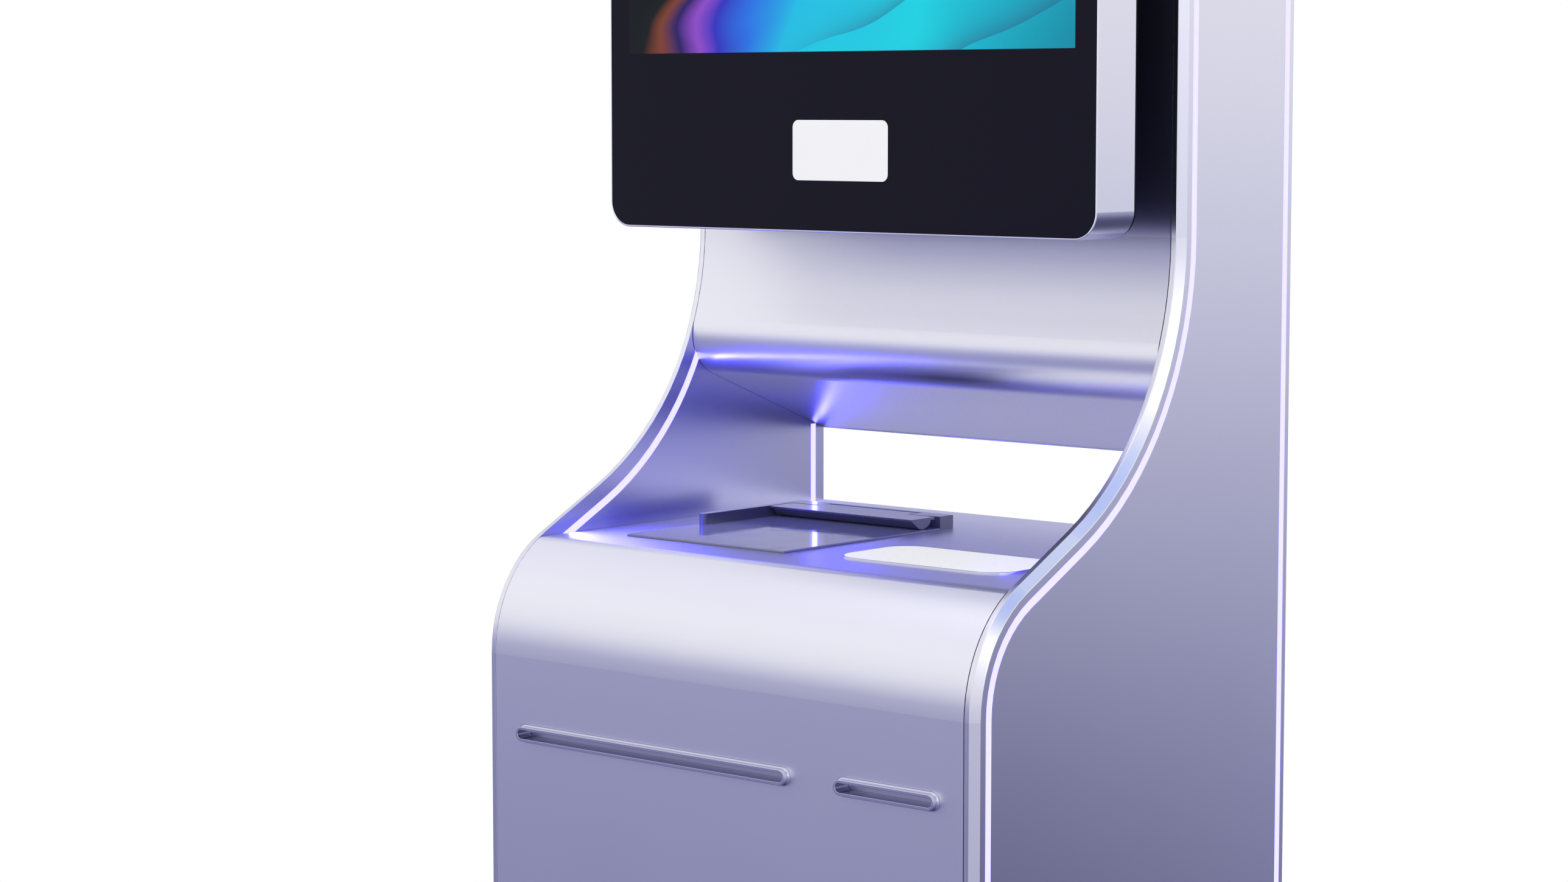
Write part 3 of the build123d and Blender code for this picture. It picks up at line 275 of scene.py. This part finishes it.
# The display's picture from left to right: a dark end, warm and violet bands, then a wide cyan field.
picture_bands = [
    (0.00, (0.002, 0.005, 0.001)),
    (0.045, (0.004, 0.007, 0.002)),
    (0.075, (0.20, 0.050, 0.020)),
    (0.105, (0.015, 0.010, 0.12)),
    (0.14, (0.26, 0.07, 0.55)),
    (0.18, (0.030, 0.030, 0.50)),
    (0.24, (0.020, 0.16, 0.75)),
    (0.34, (0.012, 0.50, 0.76)),
    (0.66, (0.008, 0.63, 0.74)),
    (0.84, (0.005, 0.42, 0.56)),
    (1.00, (0.004, 0.26, 0.37)),
]
band_lean = -0.35
band_sway = 0.05

# Its creases: how many cross it from left to right and from bottom to top, and how they look.
creases_across = 2.6
creases_up = -3.4
crease_sway = 0.25
crease_sharpness = 5.0
crease_depth = 0.55
crease_start = (0.30, 0.60)
crease_color = (0.02, 0.10, 0.22)


def satin_metal(name, color, roughness, grain, local_tone=None):
    """Bead-blasted and anodised aluminium with faint rolling lines.

    local_tone, when given, takes the shader and its colour and returns the colour to use, with painted
    shading on it.
    """
    s = Shader(name, color, 1.0, roughness)
    cloud = s.noise(5.0, 3.0)
    lines = s.noise(1.0, 3.0, grain)
    blasting = s.noise(2600.0, 1.0)
    tone = s.mix(cloud, shade(color, 0.975), shade(color, 1.02))
    if local_tone:
        tone = local_tone(s, tone)
    s.drive("Base Color", tone)
    handled = s.remap(cloud, *noise_span, roughness - 0.006, roughness + 0.006)
    s.drive("Roughness", s.plus(handled, s.times(lines, 0.012)))
    s.bump(s.plus(s.times(lines, 0.7), s.times(blasting, 0.3)), 0.02, 0.00001)
    return s.material


def painted_wall_shading(s, tone):
    """Side panels: low down, painted shade at the front and painted light at the rear.

    Their inner faces are darker all over as painted shade, with the strips' blue painted on them as glow
    beside the bay.
    """
    to_rear = s.remap(s.axis("Y"), *wall_depth)
    low_down = s.remap(s.axis("Z"), *wall_low_height, 1.0, 0.0, True)
    tone = s.mix(low_down, tone, s.mix(to_rear, wall_low_front_shade_color, wall_low_rear_light_color))
    inner = s.remap(s.math("ABSOLUTE", s.axis("X")), *wall_skin, 1.0, 0.0)
    to_front = s.remap(s.axis("Y"), *wall_glow_depth, 1.0, 0.0, True)
    s.painted_strip_glow(s.times(inner, s.times(s.inside("Z", *bay_height), to_front)), wall_glow_strength)
    return s.mix(inner, tone, wall_inner_shade_color)


def painted_back_panel_shading(s, tone):
    """Back panel: painted shade close under the monitor, and a painted dark reflection in a band along the
    bullnose's underside.

    The ceiling has the strips' blue painted on it as glow, most of all at its left end, and painted shade
    along its lower edge.
    """
    up = s.axis("Z")
    across = s.axis("X")
    near_monitor = s.remap(up, *monitor_shade_height, 0.0, monitor_shade, True)
    to_right = s.remap(across, *monitor_shade_width, 0.0, 1.0, True)
    tone = s.mix(s.times(near_monitor, to_right), tone, monitor_shade_color)
    along_reflection = s.inside("X", *bullnose_reflection_width, soft=0.06)
    on_reflection = s.times(s.inside("Z", *bullnose_reflection_height, soft=0.004), along_reflection)
    tone = s.mix(s.times(on_reflection, bullnose_reflection_strength), tone, bullnose_reflection_color)
    to_left = s.remap(across, *ceiling_glow_width, 1.0, 0.0, True)
    s.painted_strip_glow(s.times(s.inside("Z", *ceiling_glow_height, soft=0.015), to_left), ceiling_glow_strength)
    return s.mix(s.remap(up, *ceiling_edge_height, 1.0, 0.0), tone, ceiling_edge_shade_color)


def coated_steel(name, color, roughness):
    """Powder coat: a fine pebbled skin with slight colour drift."""
    s = Shader(name, color, 0.0, roughness)
    pebble = s.noise(1500.0, 2.0)
    s.drive("Base Color", s.mix(s.noise(14.0, 4.0), shade(color, 0.82), shade(color, 1.25)))
    s.drive("Roughness", s.remap(pebble, *noise_span, roughness - 0.08, roughness + 0.10))
    s.bump(pebble, 0.35, 0.00012)
    return s.material


def plated_steel(name, color, roughness):
    """Zinc plate over rolled sheet: patchy tone and fine drawn lines."""
    s = Shader(name, color, 1.0, roughness)
    patch = s.add("ShaderNodeTexVoronoi")
    patch.inputs["Scale"].default_value = 55.0
    s.join(s.place, patch.inputs["Vector"])
    lines = s.noise(1.0, 3.0, (60.0, 60.0, 1800.0))
    tone = s.mix(0.5, patch.outputs["Color"], s.noise(20.0, 4.0))
    s.drive("Base Color", s.mix(s.times(tone, 0.25), shade(color, 1.08), shade(color, 0.72)))
    s.drive("Roughness", s.remap(lines, 0.2, 0.8, roughness - 0.06, roughness + 0.10))
    s.bump(lines, 0.12, 0.00005)
    return s.material


def bright_steel(name, color, roughness):
    """Turned or ground steel with faint tool marks."""
    s = Shader(name, color, 1.0, roughness)
    marks = s.noise(900.0, 3.0, (1.0, 1.0, 6.0))
    s.drive("Base Color", s.mix(s.noise(60.0, 3.0), shade(color, 0.9), shade(color, 1.08)))
    s.drive("Roughness", s.remap(marks, 0.25, 0.75, roughness - 0.05, roughness + 0.08))
    s.bump(marks, 0.1, 0.00003)
    return s.material


def moulded(name, color, roughness, relief=spark_eroded, **sockets):
    """Plastic, paint, rubber, paper or glass, with its fine relief."""
    s = Shader(name, color, 0.0, roughness, **sockets)
    scale, strength, depth = relief
    pebble = s.noise(scale, 2.0)
    s.drive("Base Color", s.mix(s.noise(18.0, 3.0), shade(color, 0.93), shade(color, 1.05)))
    s.drive("Roughness", s.remap(pebble, *noise_span, max(0.02, roughness - 0.05), roughness + 0.06))
    s.bump(pebble, strength, depth)
    return s.material


def scanner_plastic(name, color, top_highlight_color, roughness):
    """Glossy plastic whose top faces are paler, as a painted highlight."""
    s = Shader(name, color, 0.0, roughness, Specular_IOR_Level=1.0)
    scale, strength, depth = scanner_satin
    tone = s.mix(s.facing_up(), color, top_highlight_color)
    s.drive("Base Color", s.mix(s.noise(18.0, 3.0), s.mix(0.04, tone, (0.0, 0.0, 0.0)), tone))
    pebble = s.noise(scale, 2.0)
    s.drive("Roughness", s.remap(pebble, *noise_span, roughness - 0.03, roughness + 0.03))
    s.bump(pebble, strength, depth)
    return s.material


def opal_plastic(name, color, light):
    """Satin white plastic, brightened by a faint painted glow."""
    s = Shader(name, color, 0.0, 0.35)
    s.drive("Base Color", s.mix(s.noise(30.0, 3.0), shade(color, 0.97), shade(color, 1.02)))
    s.drive("Roughness", s.remap(s.noise(900.0, 2.0), *noise_span, 0.30, 0.40))
    # Painted glow, emitted by the surface itself
    s.set("Emission Color", (*light, 1.0))
    s.set("Emission Strength", 1.0)
    s.bump(s.noise(1200.0, 1.0), 0.02, 0.00002)
    return s.material


def led_glow(name):
    """Opal diffuser: nearly even light, with the diodes behind it just readable along its length."""
    s = Shader(name, (0.03, 0.03, 0.04), 0.0, 0.5, Specular_IOR_Level=0.15)
    s.drive("Emission Color", s.mix(s.noise(160.0, 1.0), (0.094, 0.088, 1.0), (0.100, 0.093, 1.0)))
    s.set("Emission Strength", led_strength)
    s.bump(s.noise(900.0, 1.0), 0.15, 0.00005)
    return s.material


def front_glass(name):
    """Black-backed glass with faint smears. A soft abstract picture is lit behind its display part."""
    s = Shader(name, glass_color, 0.0, 0.06, Specular_IOR_Level=0.10)
    across = s.remap(s.axis("X"), *display_width)
    up = s.remap(s.axis("Z"), *display_height)

    sweep = s.noise(4.2, 1.5, (1.0, 1.0, 1.6), roughness=0.45, distortion=1.2)
    slope = s.plus(across, s.times(up, band_lean))
    bands = s.ramp(s.plus(slope, s.remap(sweep, *noise_span, -band_sway, band_sway)), picture_bands)

    drift = s.remap(s.noise(5.0, 1.0), *noise_span, -crease_sway, crease_sway)
    fold = s.plus(s.plus(s.times(across, creases_across), s.times(up, creases_up)), drift)
    crease = s.math("POWER", s.math("FRACT", fold), crease_sharpness)
    veil = s.times(crease, s.remap(across, *crease_start, 0.0, crease_depth, True))
    s.drive("Emission Color", s.mix(veil, bands, crease_color))

    lit = s.times(s.inside("X", *display_width), s.inside("Z", *display_height))
    s.drive("Emission Strength", s.times(lit, s.remap(s.axis("Y"), *glass_depth, 1.0, 0.0)))
    s.drive("Roughness", s.remap(s.noise(26.0, 4.0), 0.4, 0.7, 0.05, 0.085))
    return s.material


finish = {
    "panel_metal": satin_metal("satin_panel", metal_color, 0.25, panel_grain, painted_wall_shading),
    "sheet_metal": satin_metal("satin_sheet", metal_color, 0.34, sheet_grain),
    "bezel_metal": satin_metal("satin_cast", (0.60, 0.60, 0.72), 0.24, cast_grain),
    "led_diffuser": led_glow("lit_diffuser"),
    "zinc_steel": plated_steel("zinc_plate", (0.55, 0.56, 0.60), 0.34),
    "black_steel": coated_steel("black_powder_coat", (0.022, 0.022, 0.027), 0.48),
    "steel": bright_steel("ground_steel", (0.60, 0.60, 0.63), 0.24),
    "grey_paint": moulded("grey_paint", (0.17, 0.17, 0.22), 0.38, orange_peel),
    "black_plastic": moulded("black_plastic", (0.012, 0.012, 0.015), 0.42),
    # The last colour is the white plastic's painted glow
    "white_plastic": opal_plastic("white_plastic", (0.50, 0.50, 0.46), (0.44, 0.44, 0.46)),
    # Its second colour is a painted highlight on the scanner's top faces
    "scanner_plastic": scanner_plastic("scanner_plastic", (0.06, 0.06, 0.13), (0.30, 0.30, 0.40), 0.16),
    "rubber": moulded("feed_rubber", (0.020, 0.020, 0.022), 0.75, ground_rubber),
    "paper": moulded("thermal_paper", (0.83, 0.83, 0.80), 0.85, paper_fibre),
    "front_glass": front_glass("front_glass"),
    "scan_glass": moulded("scan_glass", (0.19, 0.19, 0.33), 0.07, polished),
    "brass": bright_steel("turned_brass", (0.72, 0.52, 0.22), 0.28),
}
slot_of = {row["node"]: row["material_slot"] for row in frame["record"]["subparts"]}

# Nodes that look different from the rest of their slot.
cover_color = (0.0012, 0.0012, 0.0018)
own_finish = {
    "monitor_rear_cover": moulded("rear_cover_black", cover_color, 0.55, Specular_IOR_Level=0.1),
    "back_panel": satin_metal("satin_back_sheet", metal_color, 0.31, sheet_grain, painted_back_panel_shading),
    # The last colour is the pad's painted glow
    "desk_pad": opal_plastic("pad_plastic", (0.50, 0.50, 0.42), (0.48, 0.48, 0.355)),
    "dispenser_shutter": satin_metal("dispenser_shutter_paint", shutter_color, 0.34, shutter_grain),
    "receipt_shutter": satin_metal("receipt_shutter_paint", shutter_color, 0.34, shutter_grain),
}


def paint(name, material):
    """Gives a CAD node one material in place of its packed one."""
    data = nodes[name].data
    data.materials.clear()
    data.materials.append(material)


# ---------------------------------------------------------------- studio, in metres and degrees

# The camera stands to the customer's right and looks slightly down.
view_turn = 41.27
view_dip = 5.506
eye_place = (1.85407, -2.24323, 1.2266)
lens_length = 80.0
sensor_width = 36.0
far_clip = 50.0

floor_radius = 2.6
floor_corners = 96
floor_fade = (0.9, 2.3)

# What the metal mirrors in each quarter of the studio: elevation, and how bright it is there.
front_left_sky = [
    (-90, 0.03), (-40, 0.05), (-25, 0.12), (-16, 0.18), (-12, 0.25), (-9, 0.44),
    (-6, 0.62), (-2, 0.82), (5, 0.97), (20, 1.0), (40, 1.0), (60, 0.85), (90, 0.70),
]
back_left_sky = [(-90, 0.40), (-30, 0.42), (-10, 0.44), (0, 0.41), (10, 0.45), (30, 0.66), (90, 0.9)]
front_right_sky = [(-90, 0.2), (-30, 0.35), (-14, 0.60), (-5, 0.74), (2, 0.95), (30, 1.0), (90, 0.9)]
back_right_sky = [
    (-90, 0.04), (-20, 0.07), (-12, 0.145), (-9, 0.25), (-5, 0.52), (-2, 0.78), (2, 1.02), (90, 1.02),
]
# The quarters fade into each other over these parts of a unit direction's Y and X.
front_to_back = (0.0, 0.5)
left_to_right = (-0.35, 0.35)

# A pale blue patch high at the right: where it is, the cosines over which it fades in, and its colour.
patch_aim = (0.55, 0.05, 0.83)
patch_edge = (0.93, 0.985)
patch_color = (0.50, 0.63, 1.05)

# The card stands where the front mirrors the camera. Its brightness changes with the height.
card_distance = 1.5
card_half_width = 1.3
card_height = (-1.2, 3.0)
card_grey = [
    (-1.2, 0.12), (-0.3, 0.22), (0.3, 0.28), (0.72, 0.33), (0.91, 0.68),
    (1.08, 1.02), (1.6, 1.04), (2.2, 0.99), (3.0, 0.86),
]

# Lamps on the bay's strips: the radiance of each stretch, from the desk up.
front_lamp_radiance = [50.0, 50.0, 38.0]
rear_lamp_radiance = 28.0
strip_light_color = (0.045, 0.042, 1.0)
lamp_gap = 0.002


def place_in_scene(name, data):
    """A new object for a mesh, lamp or lens."""
    piece = bpy.data.objects.new(name, data)
    scene.collection.objects.link(piece)
    return piece


def floor():
    """A pale disc that fades out before it ends."""
    mesh = bpy.data.meshes.new("studio_floor")
    angles = [math.tau * i / floor_corners for i in range(floor_corners)]
    ring = [(floor_radius * math.cos(a), floor_radius * math.sin(a), 0.0) for a in angles]
    mesh.from_pydata(ring, [], [list(range(floor_corners))])
    s = Shader("floor_paper", (0.86, 0.86, 0.88), 0.0, 0.7)
    distance = s.add("ShaderNodeVectorMath", operation="LENGTH")
    s.join(s.place, distance.inputs[0])
    s.drive("Alpha", s.remap(distance.outputs["Value"], *floor_fade, 1.0, 0.0, True))
    mesh.materials.append(s.material)
    disc = place_in_scene("studio_floor", mesh)
    disc.visible_glossy = False


def sky_tint(grey):
    """Dim parts of the studio are more violet than bright ones."""
    tint = 0.43 + 0.57 * grey
    return (grey * 0.98, grey * 0.98, grey / tint)


def world():
    """White behind the object. What the metal mirrors is a studio that darkens to lilac below."""
    surroundings = bpy.data.worlds.new("studio")
    scene.world = surroundings
    surroundings.use_nodes = True
    n = Nodes(surroundings.node_tree)
    output = n.add("ShaderNodeOutputWorld")
    direction = n.add("ShaderNodeTexCoord").outputs["Generated"]
    height = n.remap(n.axis_of(direction, "Z"), -1.0, 1.0)

    def sky(stops):
        """A ramp from straight down to straight up."""
        return n.ramp(height, [((math.sin(math.radians(e)) + 1) / 2, sky_tint(grey)) for e, grey in stops])

    to_back = n.remap(n.axis_of(direction, "Y"), *front_to_back, smooth=True)
    to_right = n.remap(n.axis_of(direction, "X"), *left_to_right, smooth=True)
    left = n.mix(to_back, sky(front_left_sky), sky(back_left_sky))
    right = n.mix(to_back, sky(front_right_sky), sky(back_right_sky))
    nearness = n.add("ShaderNodeVectorMath", operation="DOT_PRODUCT")
    n.join(direction, nearness.inputs[0])
    nearness.inputs[1].default_value = Vector(patch_aim).normalized()
    in_patch = n.remap(nearness.outputs["Value"], *patch_edge, smooth=True)
    studio = n.add("ShaderNodeBackground")
    n.join(n.mix(in_patch, n.mix(to_right, left, right), patch_color), studio.inputs["Color"])

    plain = n.add("ShaderNodeBackground")
    plain.inputs["Color"].default_value = (1.0, 1.0, 1.0, 1.0)
    switch = n.add("ShaderNodeMixShader")
    n.join(n.add("ShaderNodeLightPath").outputs["Is Camera Ray"], switch.inputs["Fac"])
    n.join(studio.outputs[0], switch.inputs[1])
    n.join(plain.outputs[0], switch.inputs[2])
    n.join(switch.outputs[0], output.inputs["Surface"])


def graded_card():
    """A tall card at the front left, dim at the floor and bright above desk height."""
    turn = math.radians(view_turn)
    away = Vector((-math.sin(turn), -math.cos(turn), 0.0))
    along = Vector((away.y, -away.x, 0.0))
    middle = Vector((0.0, fascia_front, 0.0)) + away * card_distance
    feet = [middle - along * card_half_width, middle + along * card_half_width]
    corners = [tuple(foot + Vector((0, 0, z))) for z in card_height for foot in feet]
    mesh = bpy.data.meshes.new("graded_card")
    mesh.from_pydata(corners, [], [(0, 1, 3, 2)])
    s = Shader("graded_card", (0.0, 0.0, 0.0), 0.0, 1.0, Specular_IOR_Level=0.0)
    low, high = card_height
    stops = [((z - low) / (high - low), sky_tint(grey)) for z, grey in card_grey]
    s.drive("Emission Color", s.ramp(s.remap(s.axis("Z"), low, high), stops))
    s.set("Emission Strength", 1.0)
    mesh.materials.append(s.material)
    card = place_in_scene("graded_card", mesh)
    card.visible_camera = False
    card.visible_shadow = False


def area_lamp(name, size, power, color):
    """A rectangular lamp that the camera doesn't see. It shines along its own -Z."""
    light = bpy.data.lights.new(name, "AREA")
    light.shape = "RECTANGLE"
    light.size, light.size_y = size
    light.energy = power
    light.color = color
    lamp = place_in_scene(name, light)
    lamp.visible_camera = False
    return lamp


def softbox(name, place, aim, size, power, color):
    """A lamp that looks from a place to an aim."""
    lamp = area_lamp(name, size, power, color)
    lamp.location = place
    lamp.rotation_euler = (Vector(aim) - Vector(place)).to_track_quat("-Z", "Y").to_euler()


def bay_lamp(name, side, low, high, radiance):
    """A blue lamp on one bay strip, from a low to a high (Y, Z) place on the wall's inner face.

    A lamp's power is 4 times its area times its radiance.
    """
    start = Vector((wall_face[side], *low))
    end = Vector((wall_face[side], *high))
    length = (end - start).length
    lamp = area_lamp(name, (length, strip_width), 4 * length * strip_width * radiance, strip_light_color)
    inward = Vector((-side, 0.0, 0.0))
    along = (end - start).normalized()
    across = along.cross(inward)
    turn = Matrix((along, across, along.cross(across))).transposed()
    lamp.matrix_world = Matrix.Translation((start + end) / 2 + inward * lamp_gap) @ turn.to_4x4()


def camera():
    lens = bpy.data.cameras.new("view")
    lens.lens = lens_length
    lens.sensor_width = sensor_width
    lens.clip_end = far_clip
    turn, dip = math.radians(view_turn), math.radians(view_dip)
    ahead = Vector((-math.sin(turn) * math.cos(dip), math.cos(turn) * math.cos(dip), -math.sin(dip)))
    eye = place_in_scene("view", lens)
    eye.location = eye_place
    eye.rotation_euler = ahead.to_track_quat("-Z", "Y").to_euler()
    scene.camera = eye


# ---------------------------------------------------------------- putting it together

for node_name in nodes:
    paint(node_name, own_finish.get(node_name) or finish[slot_of[node_name]])

floor()
world()
graded_card()
softbox(
    "top_softbox", place=(-0.6, -1.6, 3.4), aim=(0.0, -0.1, 0.9), size=(2.4, 1.6),
    power=10.0, color=(0.97, 0.97, 1.0),
)
softbox(
    "right_softbox", place=(3.2, -1.0, 2.2), aim=(0.0, 0.0, 0.8), size=(1.6, 1.8),
    power=8.0, color=(0.95, 0.96, 1.0),
)
for side in (-1, 1):
    for number, radiance in enumerate(front_lamp_radiance):
        bay_lamp(f"front_lamp_{side}_{number}", side, *front_strip[number:number + 2], radiance)
    bay_lamp(f"rear_lamp_{side}", side, *rear_strip, rear_lamp_radiance)
camera()
scene.view_settings.view_transform = "Standard"
scene.view_settings.look = "None"
